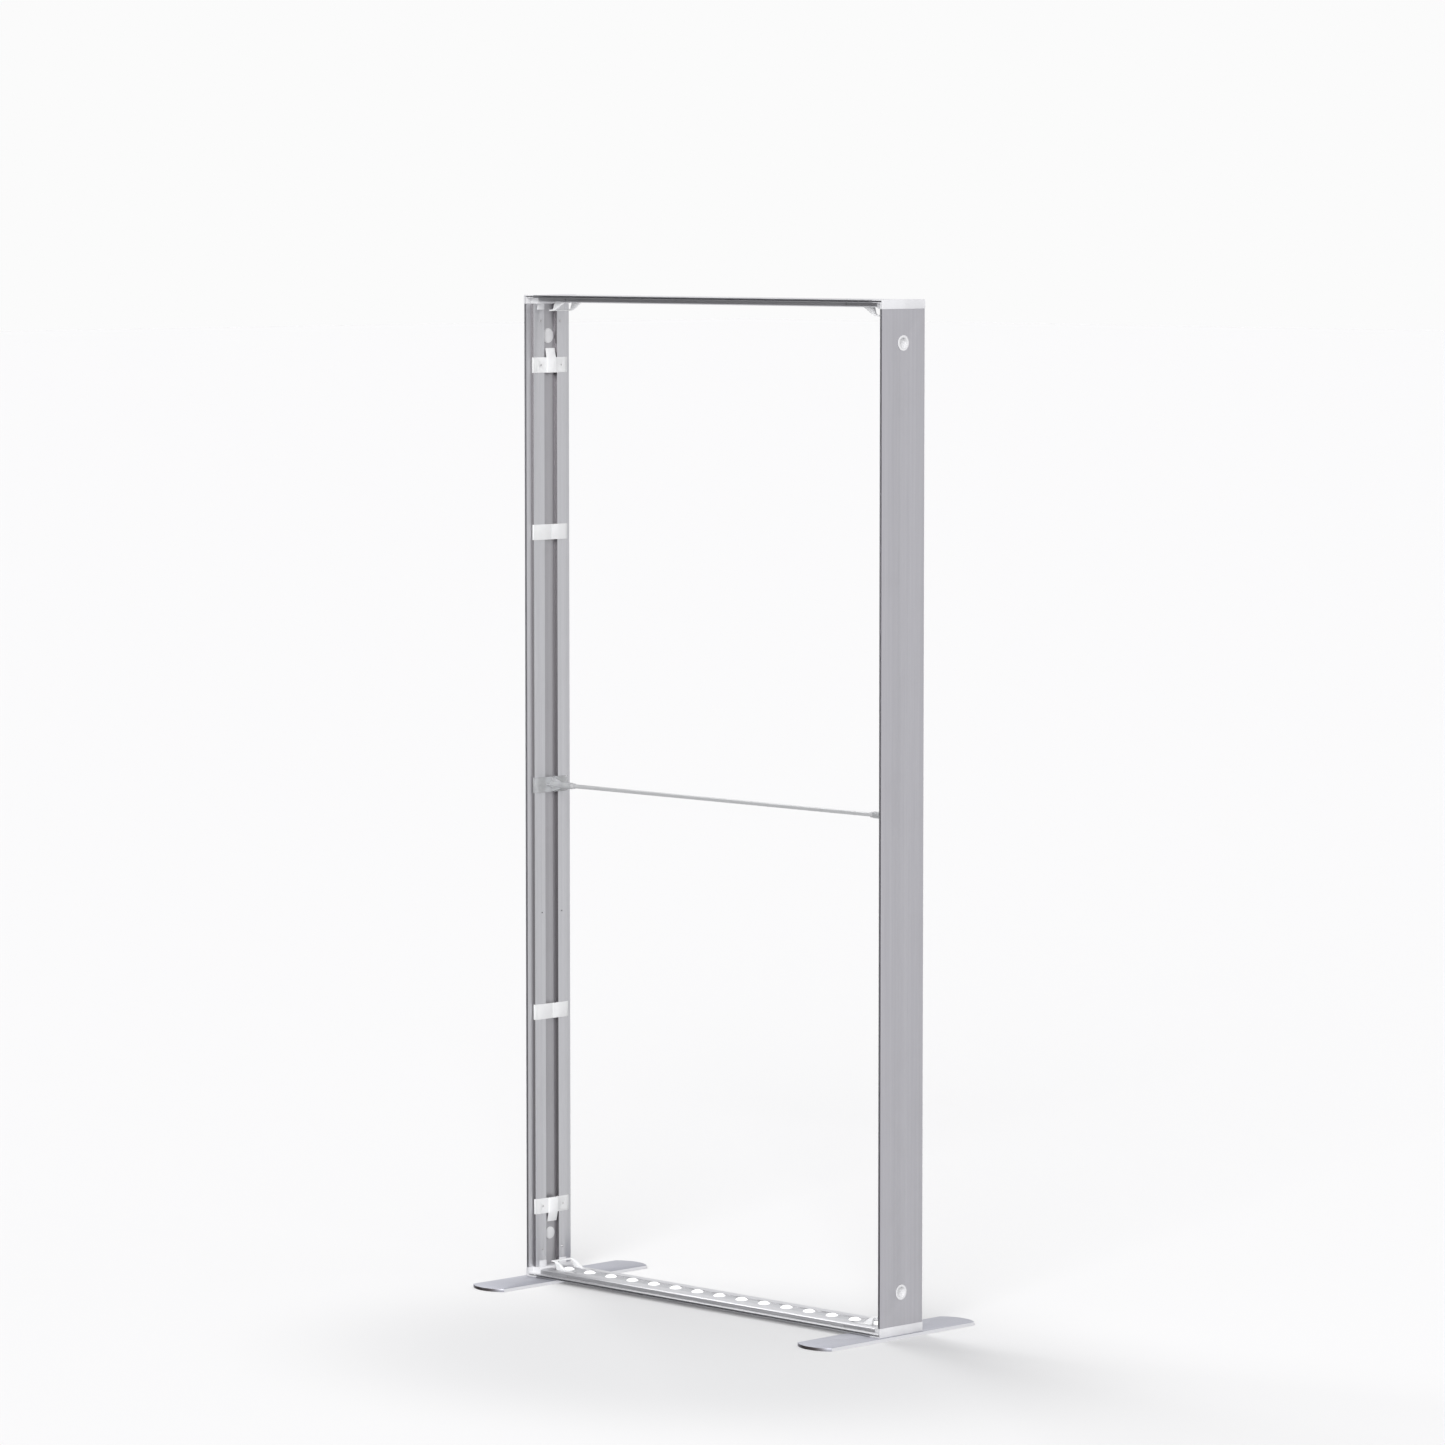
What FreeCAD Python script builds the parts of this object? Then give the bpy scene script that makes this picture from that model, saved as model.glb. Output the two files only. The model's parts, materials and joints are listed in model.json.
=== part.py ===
import FreeCAD, Part
import os
import Sketcher

# A free-standing double-sided fabric light frame, drawn without its fabric.
# +X runs along the frame, +Y from its front to its back, +Z up.
# The origin is on the floor, below the middle of the frame.

Vector = FreeCAD.Vector
Rotation = FreeCAD.Rotation
Placement = FreeCAD.Placement

doc = FreeCAD.newDocument("fabric_light_frame")

# ---- driving dimensions, in millimetres -------------------------------------

driving = {
    # whole frame, without its feet
    "frame_width": 1000,
    "frame_height": 2000,
    "frame_depth": 120,
    # foot plates
    "foot_thick": 6,
    "foot_wide": 92,
    "foot_straight": 400,
    "foot_bulge": 18,
    "foot_overhang": 7,
    "foot_screw_spread": 70,
    # corner caps and the bars that join them to the profiles
    "cap_height": 18,
    "cap_reach": 27,
    "spigot_length": 94,
    "tab_height": 12,
    # extruded section: rise is measured from its outer face, across from its middle
    "profile_inset": 0.8,
    "profile_rise": 14.2,
    "web_thick": 1.6,
    "wall_thick": 1.5,
    "lip_thick": 1.2,
    "groove_wide": 3,
    "groove_deep": 13,
    "groove_wall": 1,
    "ledge_across": 45.3,
    "ledge_rise": 12.2,
    "flange_across": 37,
    "channel_across": 17.5,
    # clips across the channel of an upright
    "clip_height": 31,
    "clip_thick": 1.3,
    "clip_leg": 5,
    "tab_clip_from_end": 142,
    "upper_clip_up": 1520,
    "lower_clip_up": 542,
    "tongue_wide": 24.6,
    # cross brace, just above half height
    "brace_up": 1006,
    "brace_radius": 4,
    "brace_wall": 1,
    "socket_radius": 6.5,
    "socket_reach": 75,
    "brace_seat": 42,
    "collar_length": 8,
    # plugs in the sides of the uprights
    "plug_from_end": 83,
    "plug_rim_radius": 15,
    "plug_rim_thick": 0.6,
    "plug_barrel_radius": 12.5,
    "plug_recess_radius": 10.5,
    "plug_recess_deep": 6,
    "plug_floor": 1.2,
    # light bar in the bottom rail
    "led_pitch": 62.5,
    "lens_radius": 12,
    "lens_rise": 4.4,
    "tray_wide": 32,
    "tray_end": 45,
    "tray_lip_up": 14.2,
    "board_up": 12,
    "board_thick": 1.6,
    # cam levers in the ends of the rails
    "pin_reach": 108,
    "pin_up": 9.5,
    "pin_radius": 1.5,
    "eye_radius": 3.5,
    "lever_wide": 54,
    "arm_wide": 6,
    "bar_reach": 40,
    "bar_up": 32.5,
    "bar_thick": 2.7,
    "bar_deep": 7.5,
    "slot_start": 53,
    "slot_end": 113.5,
    "slot_wide": 7.2,
}

sheet = doc.addObject("Spreadsheet::Sheet", "dims")
for row, (alias, value) in enumerate(driving.items(), 1):
    sheet.set(f"A{row}", alias)
    sheet.set(f"B{row}", str(value))
    sheet.setAlias(f"B{row}", alias)
doc.recompute()


class Size:
    """A length that carries both its number and its spreadsheet expression."""

    def __init__(self, number, text):
        self.number = number
        self.text = text

    def __add__(self, other):
        return combined(self, "+", other)

    def __radd__(self, other):
        return combined(other, "+", self)

    def __sub__(self, other):
        return combined(self, "-", other)

    def __rsub__(self, other):
        return combined(other, "-", self)

    def __mul__(self, other):
        return combined(self, "*", other)

    def __rmul__(self, other):
        return combined(other, "*", self)

    def __truediv__(self, other):
        return combined(self, "/", other)

    def __neg__(self):
        return combined(0, "-", self)


def as_size(value):
    return value if isinstance(value, Size) else Size(float(value), repr(float(value)))


def combined(first, sign, second):
    first = as_size(first)
    second = as_size(second)
    if sign == "+":
        number = first.number + second.number
    elif sign == "-":
        number = first.number - second.number
    elif sign == "*":
        number = first.number * second.number
    else:
        number = first.number / second.number
    return Size(number, f"({first.text} {sign} {second.text})")


def dim(alias):
    return Size(float(driving[alias]), f"dims.{alias}")


def bind(obj, prop, size):
    size = as_size(size)
    obj.setExpression(prop, size.text)


def spot(x, y, z):
    return Vector(as_size(x).number, as_size(y).number, as_size(z).number)


# ---- named sizes that several pieces share ----------------------------------

width = dim("frame_width")
height = dim("frame_height")
depth = dim("frame_depth")
foot_top = dim("foot_thick")
inset = dim("profile_inset")
rise = dim("profile_rise")
web = dim("web_thick")
wall = dim("wall_thick")
lip = dim("lip_thick")
cap_height = dim("cap_height")
cap_reach = dim("cap_reach")
ledge = dim("ledge_across")
ledge_rise = dim("ledge_rise")
flange = dim("flange_across")
channel = dim("channel_across")
groove_out = lip + dim("groove_wide")
step = groove_out + dim("groove_wall")
half_section = depth / 2 - inset
flange_face = inset + rise
channel_floor = inset + step
play = 0.4
# how far a cutting tool starts outside the material
past = 1

along_x = Rotation(Vector(0, 1, 0), 90)
along_y = Rotation(Vector(1, 0, 0), -90)
against_y = Rotation(Vector(1, 0, 0), 90)
no_turn = Rotation()
half_turn_x = Rotation(Vector(1, 0, 0), 180)
half_turn_y = Rotation(Vector(0, 1, 0), 180)
half_turn_z = Rotation(Vector(0, 0, 1), 180)
# lays a section drawn upward along the rail, with its rise still pointing up
lay_inward = Rotation(Vector(0, 0, 1), Vector(0, -1, 0), Vector(1, 0, 0), "ZXY")

# Pieces at a corner are drawn at the bottom left one: x inward, z away from the rail's outer face.
half_width = width.number / 2
frame_base = foot_top.number
frame_top = frame_base + height.number
corners = {
    "bottom_left": Placement(Vector(-half_width, 0, frame_base), no_turn),
    "bottom_right": Placement(Vector(half_width, 0, frame_base), half_turn_z),
    "top_left": Placement(Vector(-half_width, 0, frame_top), half_turn_x),
    "top_right": Placement(Vector(half_width, 0, frame_top), half_turn_y),
}
sides = ("left", "right")
ends = ("bottom", "top")

nodes = {}


# ---- drawing helpers --------------------------------------------------------

def keep(label, obj):
    obj.Label = label
    nodes[label] = obj
    return obj


def new_body(label, place):
    body = doc.addObject("PartDesign::Body", label)
    body.Placement = place
    return keep(label, body)


def origin_plane(body, role):
    return [feature for feature in body.Origin.OriginFeatures if feature.Role == role][0]


def add_loop(sketch, corners_2d):
    """A closed outline of straight edges."""
    first = sketch.GeometryCount
    count = len(corners_2d)
    points = [spot(x, y, 0) for x, y in corners_2d]
    for index, point in enumerate(points):
        sketch.addGeometry(Part.LineSegment(point, points[(index + 1) % count]), False)
    for index in range(count):
        following = first + (index + 1) % count
        sketch.addConstraint(Sketcher.Constraint("Coincident", first + index, 2, following, 1))
        pin_vertex(sketch, first + index, 1, corners_2d[index])


def pin_vertex(sketch, line, end, corner):
    for kind, size in zip(("DistanceX", "DistanceY"), corner):
        size = as_size(size)
        constraint = Sketcher.Constraint(kind, -1, 1, line, end, size.number)
        number = sketch.addConstraint(constraint)
        name = f"corner{line}_{end}_{kind[-1]}"
        sketch.renameConstraint(number, name)
        sketch.setExpression(f"Constraints.{name}", size.text)


def add_path(sketch, stops):
    """A closed outline: each stop is a corner, and a point on the way if the next edge is an arc."""
    count = len(stops)
    starts = []
    for edge, (corner, midway) in enumerate(stops):
        here = spot(*corner, 0)
        there = spot(*stops[(edge + 1) % count][0], 0)
        line = Part.Arc(here, spot(*midway, 0), there) if midway else Part.LineSegment(here, there)
        sketch.addGeometry(line, False)
        # the sketcher runs every arc anticlockwise, so a clockwise one starts at its far end
        starts.append(1 if sketch.getPoint(edge, 1).isEqual(here, 0.001) else 2)
    for edge, (corner, midway) in enumerate(stops):
        following = (edge + 1) % count
        joint = Sketcher.Constraint("Coincident", edge, 3 - starts[edge], following, starts[following])
        sketch.addConstraint(joint)
        pin_vertex(sketch, edge, starts[edge], corner)
        if midway:
            radius = sketch.Geometry[edge].Radius
            sketch.addConstraint(Sketcher.Constraint("Radius", edge, radius))


def draw(body, role, name, loops):
    sketch = body.newObject("Sketcher::SketchObject", name)
    sketch.AttachmentSupport = [(origin_plane(body, role), "")]
    sketch.MapMode = "FlatFace"
    for loop in loops:
        add_loop(sketch, loop)
    return sketch


def pad(body, sketch, length, both_ways=False):
    feature = body.newObject("PartDesign::Pad", sketch.Name + "_pad")
    feature.Profile = sketch
    bind(feature, "Length", length)
    if both_ways:
        feature.SideType = "Symmetric"
    sketch.Visibility = False
    return feature


def bore(body, name, radius, deep, at, turn):
    hole = body.newObject("PartDesign::SubtractiveCylinder", name)
    bind(hole, "Radius", radius)
    bind(hole, "Height", deep)
    hole.Placement = Placement(at, turn)
    return hole


def block(body, name, low, sizes, cut=False):
    kind = "PartDesign::SubtractiveBox" if cut else "PartDesign::AdditiveBox"
    box = body.newObject(kind, name)
    for prop, size in zip(("Length", "Width", "Height"), sizes):
        bind(box, prop, size)
    box.Placement = Placement(low, Rotation())
    return box


def cylinder(name, radius, length, place):
    rod = doc.addObject("Part::Cylinder", name)
    bind(rod, "Radius", radius)
    bind(rod, "Height", length)
    rod.Placement = place
    return rod


def tube(name, outer, inner, length, place):
    shell = cylinder(name + "_outside", outer, length, place)
    core = cylinder(name + "_inside", inner, length, place)
    ring = doc.addObject("Part::Cut", name)
    ring.Base = shell
    ring.Tool = core
    return ring


def fastener(name, sizes, place):
    head_radius, head_high, shank_radius, shank_long = sizes
    head = cylinder(name + "_head", head_radius, head_high, place)
    below = place.multiply(Placement(Vector(0, 0, -shank_long), Rotation()))
    shank = cylinder(name + "_shank", shank_radius, shank_long, below)
    screw = doc.addObject("Part::MultiFuse", name)
    screw.Shapes = [head, shank]
    return screw


def at_corner(corner, x, across, up, turn):
    return corners[corner].multiply(Placement(spot(x, across, up), turn))


def group(label, members):
    compound = doc.addObject("Part::Compound", label)
    compound.Links = members
    return keep(label, compound)


# ---- extruded section of the uprights and rails ------------------------------

def section_loops():
    half = [
        (0, half_section),
        (lip, half_section),
        (lip, half_section - dim("groove_deep")),
        (groove_out, half_section - dim("groove_deep")),
        (groove_out, half_section),
        (step, half_section),
        (step, ledge),
        (ledge_rise, ledge),
        (rise, flange),
        (rise, channel),
        (step, channel),
    ]
    mirrored = [(out, -across) for out, across in reversed(half)]
    chamber = [
        (web, channel + web),
        (rise - web, channel + web),
        (rise - web, flange - play),
        (ledge_rise - wall, ledge - wall),
        (web, ledge - wall),
    ]
    chamber_mirrored = [(out, -across) for out, across in reversed(chamber)]
    middle = [
        (web, web - channel),
        (step - wall, web - channel),
        (step - wall, channel - web),
        (web, channel - web),
    ]
    return [half + mirrored, chamber, chamber_mirrored, middle]


screw_across = 27.2
corner_screw_up = 53.5
spare_hole_up = 745
clip_screw_across = 27.8
plug_up = dim("plug_from_end")
pilot_radius = 1.45
pin_reach = dim("pin_reach")
pin_up = dim("pin_up")
lever_half = dim("lever_wide") / 2
arm_inner = lever_half - dim("arm_wide")
slot_across = lever_half - dim("arm_wide") / 2
flange_hole_start = rise - web - past
flange_hole_deep = web + past * 2

upright_length = height - cap_height * 2
rail_length = width - cap_reach * 2
upright_places = {
    "left": Placement(spot(-width / 2 + inset, 0, foot_top + cap_height), no_turn),
    "right": Placement(spot(width / 2 - inset, 0, foot_top + cap_height), half_turn_z),
}
rail_places = {
    "bottom": Placement(spot(rail_length / 2, 0, foot_top + inset), Rotation(Vector(0, 1, 0), -90)),
    "top": Placement(spot(-rail_length / 2, 0, foot_top + height - inset), along_x),
}


def upright_hole_heights():
    """Heights of the paired flange holes, from the frame's lower edge."""
    tab_clip = driving["tab_clip_from_end"]
    total = driving["frame_height"]
    return {
        "corner_low": (corner_screw_up, screw_across),
        "corner_high": (total - corner_screw_up, screw_across),
        "spare": (spare_hole_up, screw_across),
        "clip_low": (tab_clip, clip_screw_across),
        "clip_high": (total - tab_clip, clip_screw_across),
    }


def make_upright(side):
    label = f"{side}_upright"
    body = new_body(label, upright_places[side])
    pad(body, draw(body, "XY_Plane", label + "_section", section_loops()), upright_length)
    for end, up in zip(ends, (plug_up - cap_height, upright_length - plug_up + cap_height)):
        at = spot(-past, 0, up)
        bore(body, f"{label}_{end}_plug_hole", dim("plug_barrel_radius"), step + past * 2, at, along_x)
    for name, (up, across) in upright_hole_heights().items():
        for sign in (-1, 1):
            at = spot(flange_hole_start, sign * across, up - cap_height)
            bore(body, f"{label}_{name}_{sign + 2}", pilot_radius, flange_hole_deep, at, along_x)
    return body


def make_rail(end):
    label = f"{end}_rail"
    body = new_body(label, rail_places[end])
    pad(body, draw(body, "XY_Plane", label + "_section", section_loops()), rail_length)
    slot_long = dim("slot_end") - dim("slot_start")
    sizes = (flange_hole_deep, dim("slot_wide"), slot_long)
    stations = [dim("slot_start") - cap_reach, rail_length - dim("slot_end") + cap_reach]
    for number, along in enumerate(stations):
        for sign in (-1, 1):
            low = spot(flange_hole_start, sign * slot_across - dim("slot_wide") / 2, along)
            block(body, f"{label}_lever_slot_{number}_{sign + 2}", low, sizes, True)
    stations = [pin_reach - cap_reach, rail_length - pin_reach + cap_reach]
    for number, along in enumerate(stations):
        for sign, turn in ((-1, against_y), (1, along_y)):
            at = spot(pin_up - inset, sign * (ledge - wall - play), along)
            bore(body, f"{label}_pin_hole_{number}_{sign + 2}", dim("pin_radius"), wall + past, at, turn)
    return body


# ---- corner caps and spigots --------------------------------------------------

foot_screw_across = dim("foot_screw_spread") / 2
foot_screw_reach = cap_reach / 2
foot_screw_radius = 2.8
foot_screw_length = 15
foot_screw_sunk = 0.4
foot_head_radius = 5.8
foot_head_high = 3
cap_hole_radius = foot_screw_radius + 0.1
cap_hole_deep = foot_screw_length - foot_top + foot_screw_sunk + 2.6
foot_hole_radius = foot_screw_radius + 0.3
foot_sink_radius = foot_head_radius + 0.5
foot_sink_deep = foot_head_high + 0.2


def make_corner_cap(corner):
    label = f"{corner}_corner_cap"
    body = new_body(label, corners[corner])
    rim = [
        (0, 0),
        (cap_reach, 0),
        (cap_reach, channel_floor),
        (channel_floor, channel_floor),
        (channel_floor, cap_height),
        (0, cap_height),
    ]
    groove_floor = half_section - dim("groove_deep")
    pad(body, draw(body, "XZ_Plane", label + "_rim", [rim]), groove_floor * 2, True)
    near = inset + lip
    far = inset + groove_out
    lip_strip = [
        (0, 0),
        (cap_reach, 0),
        (cap_reach, near),
        (near, near),
        (near, cap_height),
        (0, cap_height),
    ]
    pad(body, draw(body, "XZ_Plane", label + "_lip", [lip_strip]), depth, True)
    wall_strip = [
        (far, far),
        (cap_reach, far),
        (cap_reach, channel_floor),
        (channel_floor, channel_floor),
        (channel_floor, cap_height),
        (far, cap_height),
    ]
    pad(body, draw(body, "XZ_Plane", label + "_wall", [wall_strip]), depth - inset * 2, True)
    bevel = cap_height - flange_face
    inner = [
        (channel_floor, channel_floor),
        (cap_reach, channel_floor),
        (cap_reach, flange_face),
        (cap_reach - bevel, cap_height),
        (channel_floor, cap_height),
    ]
    pad(body, draw(body, "XZ_Plane", label + "_block", [inner]), ledge * 2, True)
    tab_thick = 1.4
    tab_sink = 2
    tab_wide = flange - channel - 1
    for sign in (-1, 1):
        low = channel + 0.8 if sign > 0 else -channel - 0.8 - tab_wide
        corner_point = spot(flange_face, low, cap_height - tab_sink)
        sizes = (tab_thick, tab_wide, dim("tab_height") + tab_sink)
        block(body, f"{label}_tab_{sign + 2}", corner_point, sizes)
    if corner.startswith("bottom"):
        for sign in (-1, 1):
            at = spot(foot_screw_reach, foot_screw_across * sign, -past)
            bore(body, f"{label}_foot_hole_{sign + 2}", cap_hole_radius, cap_hole_deep + past, at, no_turn)
    return body


def spigot_loop(sign, near):
    """The bar's section: the profile's side chamber from near outward, drawn in by the play all round."""
    loop = [
        (inset + web + play, near),
        (flange_face - web - play, near),
        (flange_face - web - play, flange - play * 2),
        (inset + ledge_rise - wall - play, ledge - wall - play),
        (inset + web + play, ledge - wall - play),
    ]
    if sign > 0:
        return loop
    return [(out, -across) for out, across in reversed(loop)]


def make_spigots(corner, member):
    """Two bars of one corner, standing in an upright or lying in a rail beside the lever's arms."""
    label = f"{corner}_{member}_spigots"
    bars = []
    for sign in (-1, 1):
        name = f"{label}_{sign + 2}"
        if member == "upright":
            start = Placement(spot(0, 0, cap_height), no_turn)
            near = channel + web + play
            at = Vector(0, sign * screw_across, corner_screw_up - cap_height.number)
            turn = along_x
            radius = pilot_radius
        else:
            start = Placement(spot(cap_reach, 0, 0), lay_inward)
            near = lever_half + 1.2
            at = spot(pin_up, sign * lever_half, pin_reach - cap_reach)
            turn = along_y if sign > 0 else against_y
            radius = dim("pin_radius")
        body = doc.addObject("PartDesign::Body", name)
        body.Placement = corners[corner].multiply(start)
        section = draw(body, "XY_Plane", name + "_section", [spigot_loop(sign, near)])
        pad(body, section, dim("spigot_length"))
        bore(body, f"{name}_hole", radius, 20, at, turn)
        bars.append(body)
    return group(label, bars)


# ---- foot plates ----------------------------------------------------------------

def make_foot(side):
    label = f"{side}_foot"
    sign = -1 if side == "left" else 1
    centre = (width / 2 + dim("foot_overhang") - dim("foot_wide") / 2) * sign
    body = new_body(label, Placement(spot(centre, 0, 0), no_turn))
    half_wide = dim("foot_wide") / 2
    half_long = dim("foot_straight") / 2
    bulge = dim("foot_bulge")
    radius = (half_wide * half_wide + bulge * bulge) / (bulge * 2)
    sketch = draw(body, "XY_Plane", label + "_outline", [])
    side_x = half_wide.number
    side_y = half_long.number
    tip_y = side_y + bulge.number
    sketch.addGeometry(Part.LineSegment(Vector(side_x, -side_y, 0), Vector(side_x, side_y, 0)), False)
    arc = Part.Arc(Vector(side_x, side_y, 0), Vector(0, tip_y, 0), Vector(-side_x, side_y, 0))
    sketch.addGeometry(arc, False)
    sketch.addGeometry(Part.LineSegment(Vector(-side_x, side_y, 0), Vector(-side_x, -side_y, 0)), False)
    arc = Part.Arc(Vector(-side_x, -side_y, 0), Vector(0, -tip_y, 0), Vector(side_x, -side_y, 0))
    sketch.addGeometry(arc, False)
    for edge in range(4):
        sketch.addConstraint(Sketcher.Constraint("Coincident", edge, 2, (edge + 1) % 4, 1))
    pin_vertex(sketch, 0, 1, (half_wide, -half_long))
    pin_vertex(sketch, 0, 2, (half_wide, half_long))
    pin_vertex(sketch, 2, 1, (-half_wide, half_long))
    pin_vertex(sketch, 2, 2, (-half_wide, -half_long))
    for edge in (1, 3):
        number = sketch.addConstraint(Sketcher.Constraint("Radius", edge, radius.number))
        sketch.renameConstraint(number, f"end_radius_{edge}")
        sketch.setExpression(f"Constraints.end_radius_{edge}", radius.text)
    pad(body, sketch, foot_top)
    hole_x = (width / 2 - foot_screw_reach) * sign - centre
    for number in (-1, 1):
        at = spot(hole_x, foot_screw_across * number, 0)
        bore(body, f"{label}_hole_{number + 2}", foot_hole_radius, foot_top, at, no_turn)
        sink = body.newObject("PartDesign::SubtractiveCone", f"{label}_sink_{number + 2}")
        bind(sink, "Radius1", foot_sink_radius)
        bind(sink, "Radius2", foot_hole_radius)
        bind(sink, "Height", foot_sink_deep)
        sink.Placement = Placement(at, Rotation())
    return body


def make_foot_screws():
    screws = []
    for side, sign in zip(sides, (-1, 1)):
        for end in (-1, 1):
            name = f"foot_screw_{side}_{end + 2}"
            at = spot((width / 2 - foot_screw_reach) * sign, foot_screw_across * end, foot_screw_sunk)
            head = doc.addObject("Part::Cone", name + "_head")
            bind(head, "Radius1", foot_head_radius)
            bind(head, "Radius2", foot_screw_radius)
            bind(head, "Height", foot_head_high)
            head.Placement = Placement(at, no_turn)
            shank = cylinder(name + "_shank", foot_screw_radius, foot_screw_length, Placement(at, no_turn))
            screw = doc.addObject("Part::MultiFuse", name)
            screw.Shapes = [head, shank]
            screws.append(screw)
    return group("foot_screws", screws)


# ---- clips and brackets across the uprights' channels ----------------------------

clip_face = flange_face + dim("clip_thick")


def clip_loop():
    """Section of a clip that hooks over both ledges and drops two legs in the channel."""
    thick = dim("clip_thick")
    leg_tip = flange_face - dim("clip_leg")
    leg_out = channel - 0.1
    leg_in = leg_out - 1.5
    hook = 3.6
    outer = [
        (inset + ledge_rise - hook, ledge),
        (inset + ledge_rise - hook, ledge + thick),
        (inset + ledge_rise + play, ledge + thick),
        (clip_face, flange + play),
    ]
    inner = [
        (flange_face, leg_in),
        (leg_tip, leg_in),
        (leg_tip, leg_out),
        (flange_face, leg_out),
        (flange_face, flange),
        (inset + ledge_rise, ledge),
    ]
    outer_mirrored = [(out, -across) for out, across in reversed(outer)]
    inner_mirrored = [(out, -across) for out, across in reversed(inner)]
    return outer + outer_mirrored + inner_mirrored + inner


def upright_place(side, up, upside_down=False):
    left = side == "left"
    x = -half_width if left else half_width
    if left:
        turn = half_turn_x if upside_down else no_turn
    else:
        turn = half_turn_y if upside_down else half_turn_z
    return Placement(Vector(x, 0, frame_base + up), turn)


def clip_body(label, place):
    body = new_body(label, place)
    section = draw(body, "XY_Plane", label + "_section", [clip_loop()])
    pad(body, section, dim("clip_height"), True)
    return body


def make_channel_clip(side, level, up):
    """A plain clip: two flat halves that meet at a narrow split."""
    label = f"{side}_{level}_channel_clip"
    body = clip_body(label, upright_place(side, up))
    split_wide = 1.4
    split_deep = 0.9
    low = spot(clip_face - split_deep, -split_wide / 2, -dim("clip_height") / 2 - past)
    sizes = (split_deep + past, split_wide, dim("clip_height") + past * 2)
    block(body, label + "_split", low, sizes, True)
    return body


def make_tab_clip(side, end):
    """A screwed clip whose middle tongue reaches past it and dips into the channel."""
    label = f"{side}_{end}_tab_clip"
    from_end = driving["tab_clip_from_end"]
    up = from_end if end == "bottom" else driving["frame_height"] - from_end
    body = clip_body(label, upright_place(side, up, end == "bottom"))
    half_high = dim("clip_height") / 2
    proud = 2.2
    dip = 5.2
    reach = 18.5
    tongue_thick = 1.8
    tip = clip_face + proud - dip
    root = clip_face - dim("clip_thick") / 2
    tongue = [
        (root, -half_high),
        (clip_face + proud, -half_high),
        (clip_face + proud, half_high - 4),
        (tip, half_high + reach),
        (tip - tongue_thick, half_high + reach),
        (root, half_high - 2),
    ]
    pad(body, draw(body, "XZ_Plane", label + "_tongue", [tongue]), dim("tongue_wide"), True)
    for sign in (-1, 1):
        at = spot(flange_face - past, sign * clip_screw_across, 0)
        bore(body, f"{label}_hole_{sign + 2}", pilot_radius, dim("clip_thick") + past * 2, at, along_x)
    return body


def make_brace_bracket(side):
    """A clip with a ribbed socket for one end of the brace."""
    label = f"{side}_brace_bracket"
    body = clip_body(label, upright_place(side, driving["brace_up"]))
    root = clip_face - 0.5
    socket = body.newObject("PartDesign::AdditiveCylinder", label + "_socket")
    bind(socket, "Radius", dim("socket_radius"))
    bind(socket, "Height", dim("socket_reach") - root)
    socket.Placement = Placement(spot(root, 0, 0), along_x)
    rib_end = 46
    rib_foot = clip_face + 2
    rib_tip = dim("socket_radius") - 0.5
    rib_thick = 2
    for role, reach in (("XZ_Plane", 14.5), ("XY_Plane", 16)):
        rib = [
            (root, -reach),
            (rib_foot, -reach),
            (rib_end, -rib_tip),
            (rib_end, rib_tip),
            (rib_foot, reach),
            (root, reach),
        ]
        pad(body, draw(body, role, f"{label}_{role[:2]}_rib", [rib]), rib_thick, True)
    seat = dim("brace_seat")
    reach = dim("socket_reach") - seat + past
    bore(body, label + "_seat", dim("brace_radius"), reach, spot(seat, 0, 0), along_x)
    return body


def make_brace():
    level = foot_top + driving["brace_up"]
    length = width - dim("brace_seat") * 2
    place = Placement(spot(-length / 2, 0, level), along_x)
    inner = dim("brace_radius") - dim("brace_wall")
    keep("brace_tube", tube("brace_tube", dim("brace_radius"), inner, length, place))
    for side, sign in zip(sides, (-1, 1)):
        start = (width / 2 - dim("socket_reach")) * sign
        turn = along_x if sign < 0 else Rotation(Vector(0, 1, 0), -90)
        label = f"{side}_brace_collar"
        collar_place = Placement(spot(start, 0, level), turn)
        outer = dim("brace_radius") + 1.6
        keep(label, tube(label, outer, dim("brace_radius"), dim("collar_length"), collar_place))


# ---- plugs in the uprights' side holes --------------------------------------------

def make_plug(corner):
    label = f"{corner}_side_plug"
    body = new_body(label, corners[corner].multiply(Placement(spot(0, 0, plug_up), Rotation())))
    rim_start = inset - dim("plug_rim_thick")
    recess_floor = rim_start + dim("plug_recess_deep")
    for name, radius, stop in (
        ("rim", dim("plug_rim_radius"), inset),
        ("barrel", dim("plug_barrel_radius"), recess_floor + dim("plug_floor")),
    ):
        part = body.newObject("PartDesign::AdditiveCylinder", f"{label}_{name}")
        bind(part, "Radius", radius)
        bind(part, "Height", stop - rim_start)
        part.Placement = Placement(spot(rim_start, 0, 0), along_x)
    at = spot(rim_start, 0, 0)
    bore(body, label + "_recess", dim("plug_recess_radius"), dim("plug_recess_deep"), at, along_x)
    slot_long = 9
    slot_high = 3
    slot_deep = 0.7
    low = spot(recess_floor - past, -slot_long / 2, -slot_high / 2)
    block(body, label + "_slot", low, (slot_deep + past, slot_long, slot_high), True)
    return body


def make_plug_nut(side):
    """A flat ring that holds an upper plug from inside the channel."""
    label = f"{side}_plug_nut"
    corner = corners[f"top_{side}"]
    place = corner.multiply(Placement(spot(channel_floor, 0, plug_up), along_x))
    nut_thick = 0.9
    nut = tube(label, dim("plug_rim_radius"), dim("plug_barrel_radius"), nut_thick, place)
    return keep(label, nut)


# ---- light bar ---------------------------------------------------------------------

bar_base = foot_top + channel_floor


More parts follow.
